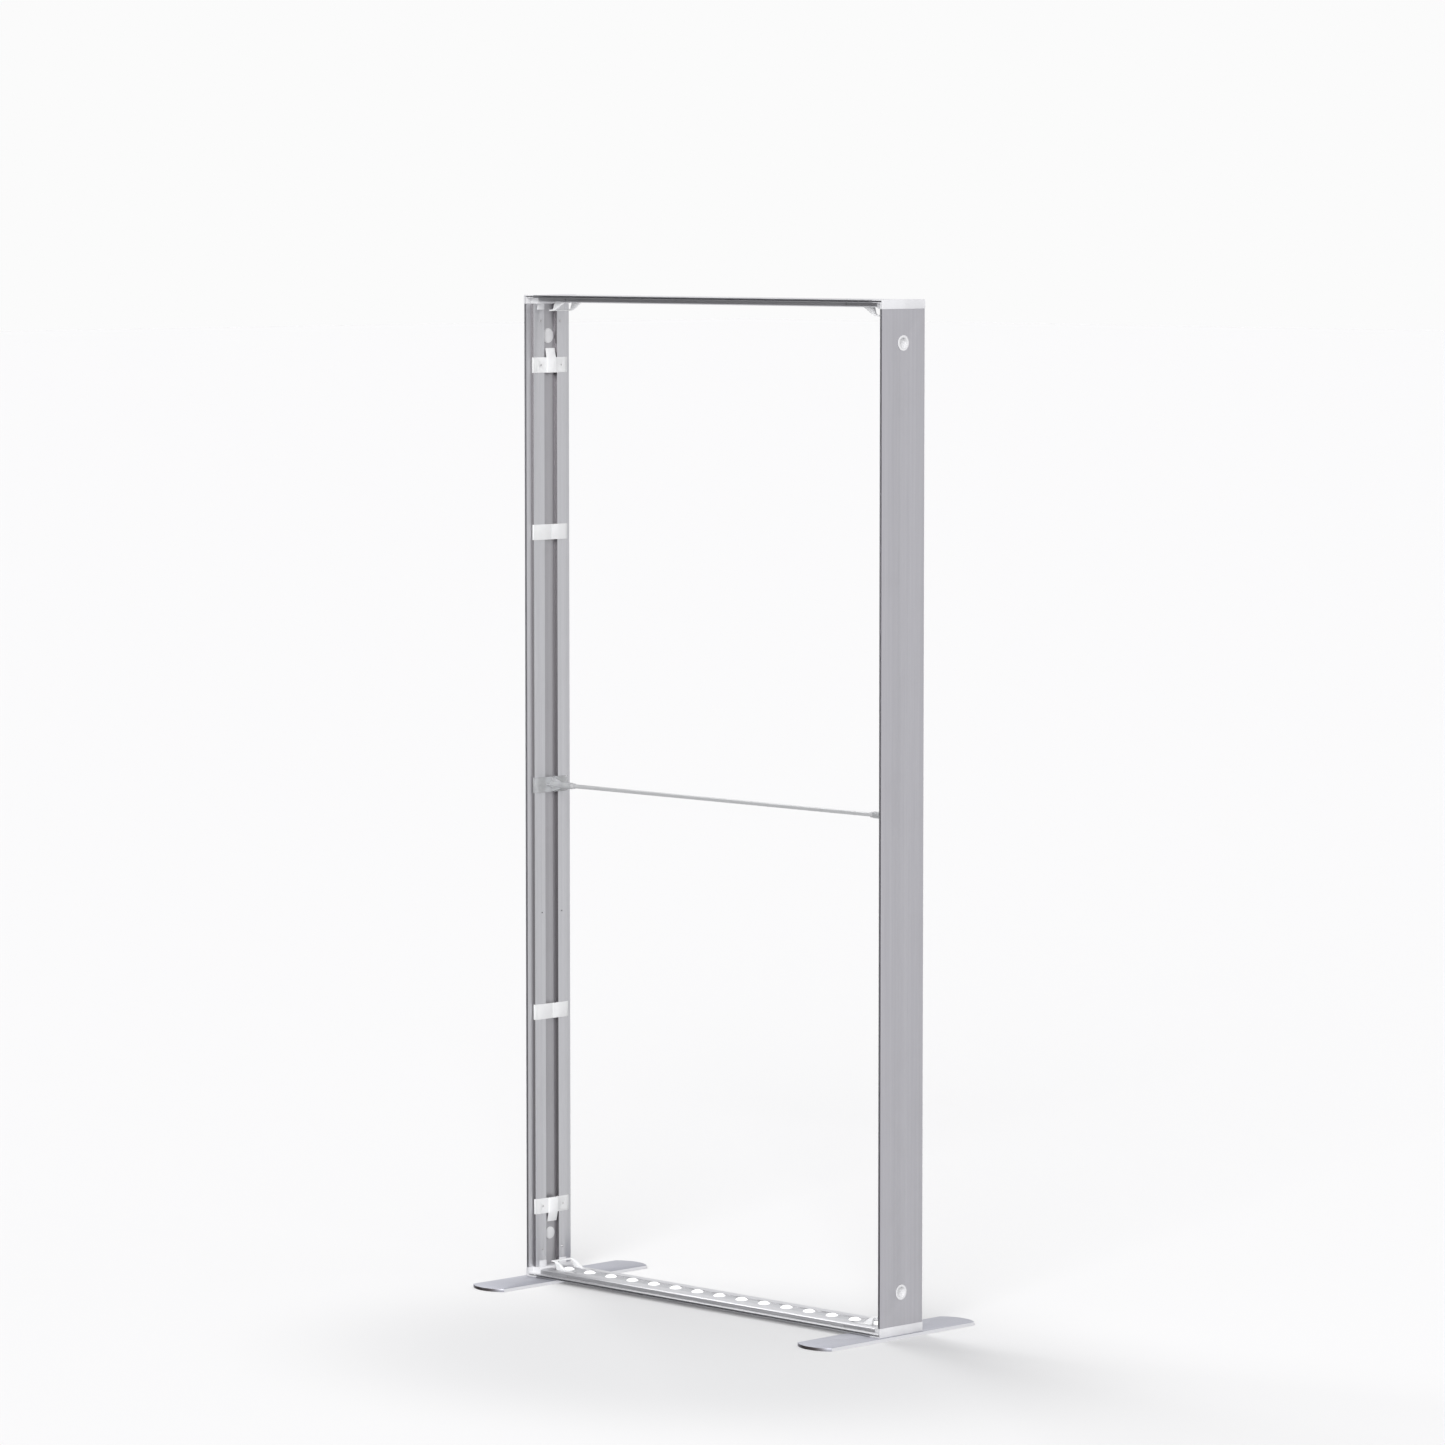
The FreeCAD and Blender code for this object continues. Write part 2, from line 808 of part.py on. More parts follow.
def make_light_bar():
    half = dim("tray_wide") / 2
    base = channel_floor
    shelf = dim("board_up")
    body = new_body("led_tray", Placement(spot(0, 0, foot_top), Rotation()))
    outside = [
        (-half, base),
        (half, base),
        (half, dim("tray_lip_up")),
        (half - wall, dim("tray_lip_up")),
        (half - wall, shelf),
        (wall - half, shelf),
        (wall - half, dim("tray_lip_up")),
        (-half, dim("tray_lip_up")),
    ]
    hollow = [
        (wall * 2 - half, base + wall),
        (half - wall * 2, base + wall),
        (half - wall * 2, shelf - wall),
        (wall * 2 - half, shelf - wall),
    ]
    length = width - dim("tray_end") * 2
    pad(body, draw(body, "YZ_Plane", "tray_section", [outside, hollow]), length, True)

    board = doc.addObject("Part::Box", "led_board")
    board_wide = (half - wall) * 2 - 0.2
    for prop, size in (("Length", length), ("Width", board_wide), ("Height", dim("board_thick"))):
        bind(board, prop, size)
    board.Placement = Placement(spot(-length / 2, -board_wide / 2, foot_top + shelf), Rotation())
    keep("led_board", board)

    caps = []
    cap_thick = 2
    for sign in (-1, 1):
        cap = doc.addObject("Part::Box", f"led_end_cap_{sign + 2}")
        cap_high = dim("tray_lip_up") - base
        for prop, size in (("Length", cap_thick), ("Width", dim("tray_wide")), ("Height", cap_high)):
            bind(cap, prop, size)
        start = length / 2 if sign > 0 else -length / 2 - cap_thick
        cap.Placement = Placement(spot(start, -half, bar_base), Rotation())
        caps.append(cap)
    group("led_end_caps", caps)


def make_lenses():
    lenses = []
    count = round(driving["frame_width"] / driving["led_pitch"]) - 1
    seat = foot_top + dim("board_up") + dim("board_thick")
    rounding = 2.6
    for number in range(count):
        x = dim("led_pitch") * (number + 1) - width / 2
        place = Placement(spot(x, 0, seat), Rotation())
        blank = cylinder(f"lens_blank_{number}", dim("lens_radius"), dim("lens_rise"), place)
        doc.recompute()
        lens = doc.addObject("Part::Fillet", f"lens_{number}")
        lens.Base = blank
        top = (seat + dim("lens_rise")).number
        edges = []
        for index, edge in enumerate(blank.Shape.Edges, 1):
            if edge.BoundBox.ZMin > top - 0.01:
                edges.append((index, rounding, rounding))
        lens.Edges = edges
        lenses.append(lens)
    return group("led_lenses", lenses)


def make_power_socket():
    """A round low-voltage inlet past the light bar's right-hand end, facing front above the flange."""
    from_end = 32.5
    body = new_body("power_socket", Placement(spot(width / 2 - from_end, 0, bar_base), no_turn))
    size_x = 10
    size_y = 14
    size_z = 18.5
    inlet_radius = 2.75
    inlet_deep = 9
    inlet_up = 13.5
    block(body, "socket_block", Vector(-size_x / 2, -size_y / 2, 0), (size_x, size_y, size_z))
    at = Vector(0, inlet_deep - size_y / 2, inlet_up)
    bore(body, "socket_bore", inlet_radius, inlet_deep + past, at, against_y)
    return body


# ---- cam levers ----------------------------------------------------------------------

def make_latch_lever(corner):
    """A bail whose two arms come up out of the rail's slots and meet in a crossbar over the channel."""
    label = f"{corner}_latch_lever"
    body = new_body(label, corners[corner])
    front = dim("bar_reach")
    top = dim("bar_up")
    under = top - dim("bar_thick")
    # the arms stop just inside the eye, so the two meet without a shared edge
    eye_reach = dim("eye_radius") - 0.1
    # side view: x inward along the rail, z from its outer face
    outline = [
        ((front, top), None),
        ((front + 8, top), (front + 17, top - 2.9)),
        ((front + 25, top - 7.5), None),
        ((front + 36, top - 14.9), (front + 40.3, top - 16.6)),
        ((front + 46, flange_face + 0.2), None),
        ((front + 58, flange_face - 0.4), None),
        ((pin_reach, pin_up + eye_reach), None),
        ((pin_reach, pin_up - eye_reach), None),
        ((front + 26, pin_up - eye_reach), (front + 18.6, pin_up - 0.3)),
        ((front + 15, flange_face + 0.5), None),
        ((front + 12, under - 4.3), (front + 9.9, under - 1.2)),
        ((front + 6, under), None),
        ((front, under), None),
    ]
    sketch = draw(body, "XZ_Plane", label + "_side", [])
    add_path(sketch, outline)
    pad(body, sketch, dim("lever_wide"), True)
    eye = body.newObject("PartDesign::AdditiveCylinder", label + "_eye")
    bind(eye, "Radius", dim("eye_radius"))
    bind(eye, "Height", dim("lever_wide"))
    eye.Placement = Placement(spot(pin_reach, -lever_half, pin_up), along_y)
    low = spot(front + dim("bar_deep"), -arm_inner, 0)
    window = (pin_reach - front, arm_inner * 2, top + past)
    block(body, label + "_window", low, window, True)
    running_play = 0.05
    at = spot(pin_reach, -lever_half - past, pin_up)
    hole_long = dim("lever_wide") + past * 2
    bore(body, label + "_pin_hole", dim("pin_radius") + running_play, hole_long, at, along_y)
    return body


def make_latch_pins():
    """Two headed pins a lever, each through the rail's side wall, the bar inside it and one arm."""
    inner_end = 20.3
    head_radius = 2.2
    head_high = 0.6
    sizes = (head_radius, head_high, dim("pin_radius"), driving["ledge_across"] - inner_end)
    pins = []
    for corner in corners:
        for sign, turn in ((-1, against_y), (1, along_y)):
            place = at_corner(corner, pin_reach, sign * ledge, pin_up, turn)
            pins.append(fastener(f"{corner}_latch_pin_{sign + 2}", sizes, place))
    return group("latch_pins", pins)


# ---- small fasteners -----------------------------------------------------------------

# head radius, head height, shank radius, shank length
corner_screw = (2.4, 1.1, 1.4, 8)
clip_screw = (1.9, 0.8, 1.4, 6)


def make_screw_groups():
    corner_screws = []
    clip_screws = []
    for corner in corners:
        for sign in (-1, 1):
            tag = f"{corner}_{sign + 2}"
            place = at_corner(corner, flange_face, sign * screw_across, corner_screw_up, along_x)
            corner_screws.append(fastener(f"corner_screw_{tag}", corner_screw, place))
            tab_up = driving["tab_clip_from_end"]
            place = at_corner(corner, clip_face, sign * clip_screw_across, tab_up, along_x)
            clip_screws.append(fastener(f"clip_screw_{tag}", clip_screw, place))
    group("corner_screws", corner_screws)
    group("clip_screws", clip_screws)


# ---- assembly ---------------------------------------------------------------------------

for side in sides:
    make_upright(side)
    make_foot(side)
    make_channel_clip(side, "upper", driving["upper_clip_up"])
    make_channel_clip(side, "lower", driving["lower_clip_up"])
    make_brace_bracket(side)
    make_plug_nut(side)
    for end in ends:
        make_tab_clip(side, end)
for end in ends:
    make_rail(end)
for corner in corners:
    make_corner_cap(corner)
    make_spigots(corner, "upright")
    make_spigots(corner, "rail")
    make_plug(corner)
    make_latch_lever(corner)
make_brace()
make_light_bar()
make_lenses()
make_power_socket()
make_latch_pins()
make_foot_screws()
make_screw_groups()
doc.recompute()

# ---- checks and export --------------------------------------------------------------------

broken = [obj.Name for obj in doc.Objects if "Invalid" in obj.State or "Error" in obj.State]
if broken:
    raise RuntimeError("failed features: " + ", ".join(broken))
for label, obj in nodes.items():
    if obj.Shape.isNull() or not obj.Shape.isValid() or not obj.Shape.Solids:
        raise RuntimeError("bad shape: " + label)

os.makedirs("parts", exist_ok=True)
for label, obj in nodes.items():
    obj.Shape.exportStep(f"parts/{label}.step")
    box = obj.Shape.BoundBox
    low = (round(box.XMin, 1), round(box.YMin, 1), round(box.ZMin, 1))
    high = (round(box.XMax, 1), round(box.YMax, 1), round(box.ZMax, 1))
    print(label, len(obj.Shape.Solids), "solids", round(obj.Shape.Volume / 1000, 2), "cm3", low, high)
print(len(nodes), "nodes")
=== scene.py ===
# A free-standing double-sided light frame without its fabric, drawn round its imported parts.
import bpy
import json
from math import cos, pi, radians, sin
from mathutils import Matrix, Vector

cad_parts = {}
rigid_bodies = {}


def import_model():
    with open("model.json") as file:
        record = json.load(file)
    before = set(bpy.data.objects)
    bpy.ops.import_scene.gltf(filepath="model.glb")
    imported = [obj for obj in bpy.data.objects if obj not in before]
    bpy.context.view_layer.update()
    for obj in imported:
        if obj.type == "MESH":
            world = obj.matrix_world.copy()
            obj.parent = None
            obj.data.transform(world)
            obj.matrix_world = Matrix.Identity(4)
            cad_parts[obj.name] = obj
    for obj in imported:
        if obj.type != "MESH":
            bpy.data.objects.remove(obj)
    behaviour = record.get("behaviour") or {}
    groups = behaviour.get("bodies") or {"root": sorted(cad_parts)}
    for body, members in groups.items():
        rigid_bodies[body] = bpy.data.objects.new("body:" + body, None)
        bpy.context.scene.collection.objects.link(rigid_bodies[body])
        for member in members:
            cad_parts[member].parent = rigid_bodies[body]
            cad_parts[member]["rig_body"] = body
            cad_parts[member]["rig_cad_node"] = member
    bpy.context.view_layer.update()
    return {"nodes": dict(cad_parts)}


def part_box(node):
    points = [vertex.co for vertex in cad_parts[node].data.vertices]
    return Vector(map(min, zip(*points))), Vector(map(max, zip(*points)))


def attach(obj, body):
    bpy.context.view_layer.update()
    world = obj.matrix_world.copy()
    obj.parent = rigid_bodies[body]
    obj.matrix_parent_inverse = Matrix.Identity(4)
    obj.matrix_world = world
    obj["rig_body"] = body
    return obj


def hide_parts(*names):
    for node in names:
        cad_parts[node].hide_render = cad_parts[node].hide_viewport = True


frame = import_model()
nodes = frame["nodes"]
print("frame loaded:", len(nodes), "parts")


# small helpers for node trees

def newGroup(name, inputs, outputs):
    tree = bpy.data.node_groups.new(name, "ShaderNodeTree")
    for label, kind, value in inputs:
        socket = tree.interface.new_socket(name=label, in_out="INPUT", socket_type=kind)
        socket.default_value = value
    for label, kind in outputs:
        tree.interface.new_socket(name=label, in_out="OUTPUT", socket_type=kind)
    return tree, addNode(tree, "NodeGroupInput"), addNode(tree, "NodeGroupOutput")


def addNode(tree, kind, settings=None, values=None):
    node = tree.nodes.new(kind)
    for key, value in (settings or {}).items():
        setattr(node, key, value)
    for key, value in (values or {}).items():
        node.inputs[key].default_value = value
    return node


def join(tree, pairs):
    for start, end in pairs:
        tree.links.new(start, end)


def mathNode(tree, operation, first, second=None):
    node = addNode(tree, "ShaderNodeMath", {"operation": operation})
    for index, value in enumerate((first, second)):
        if value is None:
            continue
        if isinstance(value, (int, float)):
            node.inputs[index].default_value = value
        else:
            tree.links.new(value, node.inputs[index])
    return node.outputs[0]


def mixColour(tree, factor, first, second, blend="MIX"):
    node = addNode(tree, "ShaderNodeMix", {"data_type": "RGBA", "blend_type": blend})
    for index, value in ((0, factor), (6, first), (7, second)):
        if isinstance(value, (int, float, tuple)):
            node.inputs[index].default_value = value
        else:
            tree.links.new(value, node.inputs[index])
    return node.outputs[2]


# effects that several finishes share

def buildDrawLines():
    # long lines left by the die, stretched along the profile
    tree, start, end = newGroup(
        "drawLines",
        [("Vector", "NodeSocketVector", (0, 0, 0)), ("Stretch", "NodeSocketVector", (1, 1, 1)),
         ("Fineness", "NodeSocketFloat", 900.0)],
        [("Lines", "NodeSocketFloat"), ("Height", "NodeSocketFloat")])
    scaled = addNode(tree, "ShaderNodeVectorMath", {"operation": "MULTIPLY"})
    fine = addNode(tree, "ShaderNodeTexNoise", {"noise_dimensions": "3D"}, {"Detail": 3.0, "Roughness": 0.6})
    wide = addNode(tree, "ShaderNodeTexNoise", {"noise_dimensions": "3D"}, {"Detail": 1.0, "Roughness": 0.5})
    join(tree, [(start.outputs["Vector"], scaled.inputs[0]), (start.outputs["Stretch"], scaled.inputs[1]),
                (scaled.outputs[0], fine.inputs["Vector"]), (scaled.outputs[0], wide.inputs["Vector"]),
                (start.outputs["Fineness"], fine.inputs["Scale"])])
    tree.links.new(mathNode(tree, "MULTIPLY", start.outputs["Fineness"], 0.12), wide.inputs["Scale"])
    blended = mathNode(tree, "ADD", mathNode(tree, "MULTIPLY", fine.outputs[0], 0.6),
                       mathNode(tree, "MULTIPLY", wide.outputs[0], 0.4))
    join(tree, [(blended, end.inputs["Lines"]), (fine.outputs[0], end.inputs["Height"])])
    return tree


def buildSpeckle():
    # fine moulded or powder-coated texture with a slow change of tone
    tree, start, end = newGroup(
        "speckle",
        [("Vector", "NodeSocketVector", (0, 0, 0)), ("Fineness", "NodeSocketFloat", 1500.0),
         ("Patches", "NodeSocketFloat", 14.0)],
        [("Tone", "NodeSocketFloat"), ("Height", "NodeSocketFloat"), ("Grain", "NodeSocketFloat")])
    grain = addNode(tree, "ShaderNodeTexNoise", {}, {"Detail": 4.0, "Roughness": 0.65})
    patch = addNode(tree, "ShaderNodeTexNoise", {}, {"Detail": 2.0, "Roughness": 0.5})
    cells = addNode(tree, "ShaderNodeTexVoronoi", {"feature": "F1"}, {})
    join(tree, [(start.outputs["Vector"], n.inputs["Vector"]) for n in (grain, patch, cells)])
    join(tree, [(start.outputs["Fineness"], grain.inputs["Scale"]),
                (start.outputs["Patches"], patch.inputs["Scale"])])
    tree.links.new(mathNode(tree, "MULTIPLY", start.outputs["Fineness"], 0.6), cells.inputs["Scale"])
    height = mathNode(tree, "ADD", mathNode(tree, "MULTIPLY", grain.outputs[0], 0.5),
                      mathNode(tree, "MULTIPLY", cells.outputs[0], 0.5))
    join(tree, [(patch.outputs[0], end.inputs["Tone"]), (height, end.inputs["Height"]),
                (grain.outputs[0], end.inputs["Grain"])])
    return tree


def buildHandling():
    # faint smudges and rubbing where the frame is carried and put together
    tree, start, end = newGroup(
        "handling",
        [("Vector", "NodeSocketVector", (0, 0, 0)), ("Size", "NodeSocketFloat", 9.0)],
        [("Smudge", "NodeSocketFloat"), ("Scratch", "NodeSocketFloat")])
    smear = addNode(tree, "ShaderNodeTexNoise", {}, {"Detail": 5.0, "Roughness": 0.6, "Distortion": 0.6})
    streak = addNode(tree, "ShaderNodeTexWave", {"wave_type": "BANDS", "bands_direction": "DIAGONAL"},
                     {"Scale": 60.0, "Distortion": 14.0, "Detail": 3.0, "Detail Scale": 2.5})
    join(tree, [(start.outputs["Vector"], smear.inputs["Vector"]),
                (start.outputs["Vector"], streak.inputs["Vector"]),
                (start.outputs["Size"], smear.inputs["Scale"])])
    smudge = addNode(tree, "ShaderNodeMapRange", {"interpolation_type": "SMOOTHSTEP"},
                     {"From Min": 0.48, "From Max": 0.72})
    scratch = addNode(tree, "ShaderNodeMapRange", {"interpolation_type": "SMOOTHSTEP"},
                      {"From Min": 0.93, "From Max": 0.99})
    join(tree, [(smear.outputs[0], smudge.inputs[0]), (streak.outputs["Fac"], scratch.inputs[0]),
                (smudge.outputs[0], end.inputs["Smudge"]), (scratch.outputs[0], end.inputs["Scratch"])])
    return tree


drawLines = buildDrawLines()
speckle = buildSpeckle()
handling = buildHandling()


# finishes

def startMaterial(name):
    material = bpy.data.materials.new(name)
    material.use_nodes = True
    tree = material.node_tree
    tree.nodes.clear()
    shader = addNode(tree, "ShaderNodeBsdfPrincipled")
    output = addNode(tree, "ShaderNodeOutputMaterial")
    place = addNode(tree, "ShaderNodeTexCoord").outputs["Object"]
    tree.links.new(shader.outputs[0], output.inputs["Surface"])
    return material, tree, shader, place


def placeGroup(tree, group, vector, values):
    node = addNode(tree, "ShaderNodeGroup", {"node_tree": group}, {})
    for key, value in values.items():
        node.inputs[key].default_value = value
    tree.links.new(vector, node.inputs["Vector"])
    return node


# the middle part of a noise, which is all that it mostly reaches
noiseSpan = {"From Min": 0.3, "From Max": 0.7}


def spread(tree, source, low=0.0, high=1.0):
    node = addNode(tree, "ShaderNodeMapRange", {}, {**noiseSpan, "To Min": low, "To Max": high})
    tree.links.new(source, node.inputs[0])
    return node.outputs[0]


def axesOf(tree, vector):
    node = addNode(tree, "ShaderNodeSeparateXYZ")
    tree.links.new(vector, node.inputs[0])
    return node.outputs


def pastMark(tree, value, low, high):
    # rises from 0 to 1 between two marks, the same on both sides of the middle
    node = addNode(tree, "ShaderNodeMapRange", {}, {"From Min": low, "From Max": high})
    tree.links.new(mathNode(tree, "ABSOLUTE", value), node.inputs[0])
    return node.outputs[0]


def addBump(tree, shader, height, strength, distance):
    bump = addNode(tree, "ShaderNodeBump", {}, {"Strength": strength, "Distance": distance})
    join(tree, [(height, bump.inputs["Height"]), (bump.outputs[0], shader.inputs["Normal"])])


anodisedSettings = {
    "pale": (0.70, 0.70, 0.715, 1), "deep": (0.60, 0.60, 0.62, 1), "uprightMetal": 0.92, "railMetal": 0.8,
    "smooth": 0.34, "rough": 0.46, "fineness": 1400.0, "bump": 0.10, "bumpDepth": 0.00006,
    # painted shade for the wide outer face
    "outerPaintedShade": (0.88, 0.87, 0.89, 1), "outerFrom": 0.4975, "outerTo": 0.4988,
    # painted shade on the walls that face along y
    "sidePaintedShade": (0.40, 0.385, 0.39, 1), "sideFrom": 0.75, "sideTo": 0.95,
    # painted shade in the channel's floor
    "channelPaintedShade": (0.76, 0.75, 0.755, 1), "channelFrom": 0.0185, "channelTo": 0.0165,
    "smudgeShade": (0.5, 0.5, 0.5, 1), "smudge": 0.10, "smudgeRough": 0.05,
}


def anodised(name, stretch, standing):
    look = anodisedSettings
    material, tree, shader, place = startMaterial(name)
    lines = placeGroup(tree, drawLines, place, {"Stretch": stretch, "Fineness": look["fineness"]})
    touch = placeGroup(tree, handling, place, {"Size": 7.0})
    colour = mixColour(tree, spread(tree, lines.outputs["Lines"]), look["deep"], look["pale"])
    smudge = mathNode(tree, "MULTIPLY", touch.outputs["Smudge"], look["smudge"])
    colour = mixColour(tree, smudge, colour, look["smudgeShade"])
    if standing:
        spots = axesOf(tree, place)
        facing = axesOf(tree, addNode(tree, "ShaderNodeTexCoord").outputs["Normal"])
        outer = pastMark(tree, spots[0], look["outerFrom"], look["outerTo"])
        channel = pastMark(tree, spots[1], look["channelFrom"], look["channelTo"])
        side = pastMark(tree, facing[1], look["sideFrom"], look["sideTo"])
        # painted shade: the wide outer face is darkened in its colour to stand in for the dimmer light it
        # gets
        outerShadedPart = mixColour(tree, 1.0, colour, look["outerPaintedShade"], "MULTIPLY")
        # painted shade: the channel's floor is darkened in its colour where shade falls in the recess
        channelShadedPart = mixColour(tree, 1.0, colour, look["channelPaintedShade"], "MULTIPLY")
        colour = mixColour(tree, channel, colour, channelShadedPart)
        # painted shade: the walls of the channel and the walls of the steps, picked by the way they face, are
        # darkened in their colour where shade falls between them
        wallShadedPart = mixColour(tree, 1.0, colour, look["sidePaintedShade"], "MULTIPLY")
        colour = mixColour(tree, side, colour, wallShadedPart)
        colour = mixColour(tree, outer, colour, outerShadedPart)
    rough = mathNode(tree, "ADD", spread(tree, lines.outputs["Lines"], look["smooth"], look["rough"]),
                     mathNode(tree, "MULTIPLY", touch.outputs["Smudge"], look["smudgeRough"]))
    join(tree, [(colour, shader.inputs["Base Color"]), (rough, shader.inputs["Roughness"])])
    shader.inputs["Metallic"].default_value = look["uprightMetal" if standing else "railMetal"]
    addBump(tree, shader, lines.outputs["Height"], look["bump"], look["bumpDepth"])
    return material


metalSettings = {"fineness": 2200.0, "bump": 0.12, "bumpDepth": 0.00004}


def brightMetal(name, pale, deep, smooth, rough, stretch, metal=1.0):
    look = metalSettings
    material, tree, shader, place = startMaterial(name)
    lines = placeGroup(tree, drawLines, place, {"Stretch": stretch, "Fineness": look["fineness"]})
    colour = mixColour(tree, spread(tree, lines.outputs["Lines"]), deep, pale)
    join(tree, [(colour, shader.inputs["Base Color"]),
                (spread(tree, lines.outputs["Lines"], smooth, rough), shader.inputs["Roughness"])])
    shader.inputs["Metallic"].default_value = metal
    addBump(tree, shader, lines.outputs["Height"], look["bump"], look["bumpDepth"])
    return material


plasticSettings = {
    "patches": 22.0, "touchSize": 16.0, "smudgeRough": 0.06, "ior": 1.49, "depthScale": 0.006,
    "bumpDepth": 0.00008,
}


def mouldedPlastic(name, pale, deep, smooth, rough, fineness=1800.0, bump=0.12, glow=0.0, depth=0.0):
    look = plasticSettings
    material, tree, shader, place = startMaterial(name)
    grain = placeGroup(tree, speckle, place, {"Fineness": fineness, "Patches": look["patches"]})
    touch = placeGroup(tree, handling, place, {"Size": look["touchSize"]})
    colour = mixColour(tree, spread(tree, grain.outputs["Tone"]), deep, pale)
    level = mathNode(tree, "ADD", spread(tree, grain.outputs["Grain"], smooth, rough),
                     mathNode(tree, "MULTIPLY", touch.outputs["Smudge"], look["smudgeRough"]))
    join(tree, [(colour, shader.inputs["Base Color"]), (level, shader.inputs["Roughness"])])
    shader.inputs["IOR"].default_value = look["ior"]
    if glow:
        tree.links.new(colour, shader.inputs["Emission Color"])
        shader.inputs["Emission Strength"].default_value = glow
    if depth:
        # light sinks in and comes out again on the thin side
        shader.inputs["Subsurface Weight"].default_value = depth
        shader.inputs["Subsurface Radius"].default_value = (1, 1, 1)
        shader.inputs["Subsurface Scale"].default_value = look["depthScale"]
    addBump(tree, shader, grain.outputs["Height"], bump, look["bumpDepth"])
    return material


bracketSettings = {
    "pale": (0.86, 0.87, 0.88, 1), "deep": (0.72, 0.73, 0.75, 1), "smooth": 0.16, "rough": 0.3,
    "fineness": 700.0, "patches": 40.0, "clearness": 0.6, "bump": 0.08, "bumpDepth": 0.0001,
}


def clearPlastic():
    look = bracketSettings
    material, tree, shader, place = startMaterial("clearPlastic")
    grain = placeGroup(tree, speckle, place, {"Fineness": look["fineness"], "Patches": look["patches"]})
    colour = mixColour(tree, spread(tree, grain.outputs["Tone"]), look["deep"], look["pale"])
    level = spread(tree, grain.outputs["Grain"], look["smooth"], look["rough"])
    join(tree, [(colour, shader.inputs["Base Color"]), (level, shader.inputs["Roughness"])])
    shader.inputs["IOR"].default_value = 1.46
    shader.inputs["Transmission Weight"].default_value = look["clearness"]
    addBump(tree, shader, grain.outputs["Height"], look["bump"], look["bumpDepth"])
    return material


footSettings = {
    "pale": (0.48, 0.485, 0.53, 1), "deep": (0.42, 0.425, 0.47, 1), "smooth": 0.38, "rough": 0.52,
    "fineness": 1100.0, "patches": 6.0, "scratchShade": (0.6, 0.6, 0.63, 1), "scratch": 0.25,
    "smudgeRough": 0.08, "metal": 0.85, "bump": 0.25, "bumpDepth": 0.00015,
    # painted highlight on the long edges and painted shade on the round ends
    "longEdgePaintedHighlight": (0.86, 0.86, 0.88, 1), "roundEndPaintedShade": (0.16, 0.14, 0.14, 1), "edgeFrom": 0.8, "edgeTo": 0.97,
}


def powderCoat():
    look = footSettings
    material, tree, shader, place = startMaterial("powderCoat")
    grain = placeGroup(tree, speckle, place, {"Fineness": look["fineness"], "Patches": look["patches"]})
    touch = placeGroup(tree, handling, place, {"Size": 5.0})
    colour = mixColour(tree, spread(tree, grain.outputs["Tone"]), look["deep"], look["pale"])
    scratch = mathNode(tree, "MULTIPLY", touch.outputs["Scratch"], look["scratch"])
    colour = mixColour(tree, scratch, colour, look["scratchShade"])
    # painted highlight and painted shade: the coat's colour is made pale on the plate's long edges and dark
    # on its round ends, picked by the way each face looks
    facing = axesOf(tree, addNode(tree, "ShaderNodeTexCoord").outputs["Normal"])
    for axis, shade in ((0, look["longEdgePaintedHighlight"]), (1, look["roundEndPaintedShade"])):
        edge = pastMark(tree, facing[axis], look["edgeFrom"], look["edgeTo"])
        colour = mixColour(tree, edge, colour, shade)
    level = mathNode(tree, "ADD", spread(tree, grain.outputs["Grain"], look["smooth"], look["rough"]),
                     mathNode(tree, "MULTIPLY", touch.outputs["Smudge"], look["smudgeRough"]))
    join(tree, [(colour, shader.inputs["Base Color"]), (level, shader.inputs["Roughness"])])
    shader.inputs["Metallic"].default_value = look["metal"]
    addBump(tree, shader, grain.outputs["Height"], look["bump"], look["bumpDepth"])
    return material


upStretch = (1, 1, 0.006)
alongStretch = (0.006, 1, 1)
uprightMetal = anodised("uprightMetal", upStretch, True)
railMetal = anodised("railMetal", alongStretch, False)
trayMetal = brightMetal("trayMetal", (0.78, 0.78, 0.79, 1), (0.66, 0.66, 0.68, 1), 0.3, 0.42, alongStretch)
braceMetal = brightMetal("braceMetal", (0.54, 0.545, 0.55, 1), (0.47, 0.475, 0.48, 1), 0.35, 0.5,
                         alongStretch, metal=0.25)
zincSteel = brightMetal("zincSteel", (0.72, 0.71, 0.70, 1), (0.5, 0.5, 0.51, 1), 0.22, 0.4, (1, 1, 1))
spigotSteel = brightMetal("spigotSteel", (0.6, 0.6, 0.62, 1), (0.48, 0.48, 0.5, 1), 0.35, 0.5, (1, 1, 1))
capPlastic = mouldedPlastic("capPlastic", (0.71, 0.71, 0.725, 1), (0.65, 0.65, 0.665, 1), 0.42, 0.55)
whitePlastic = mouldedPlastic("whitePlastic", (0.84, 0.845, 0.85, 1), (0.79, 0.795, 0.80, 1), 0.35, 0.5,
                              depth=0.6)
plugPlastic = mouldedPlastic("plugPlastic", (0.71, 0.71, 0.72, 1), (0.65, 0.65, 0.66, 1), 0.32, 0.45)
endPlastic = mouldedPlastic("endPlastic", (0.7, 0.7, 0.71, 1), (0.62, 0.62, 0.63, 1), 0.45, 0.6)
boardMask = mouldedPlastic("boardMask", (0.50, 0.505, 0.52, 1), (0.44, 0.445, 0.46, 1), 0.38, 0.5,
                           fineness=2600.0, bump=0.06)
socketPlastic = mouldedPlastic("socketPlastic", (0.03, 0.03, 0.032, 1), (0.02, 0.02, 0.022, 1), 0.4, 0.55)
collarRubber = mouldedPlastic("collarRubber", (0.5, 0.5, 0.51, 1), (0.42, 0.42, 0.43, 1), 0.6, 0.75,
                              fineness=2400.0, bump=0.2)
lensGlow = mouldedPlastic("lensGlow", (0.96, 0.96, 0.96, 1), (0.93, 0.93, 0.93, 1), 0.3, 0.42,
                          fineness=900.0, bump=0.05, glow=0.4)
bracketPlastic = clearPlastic()
footCoat = powderCoat()

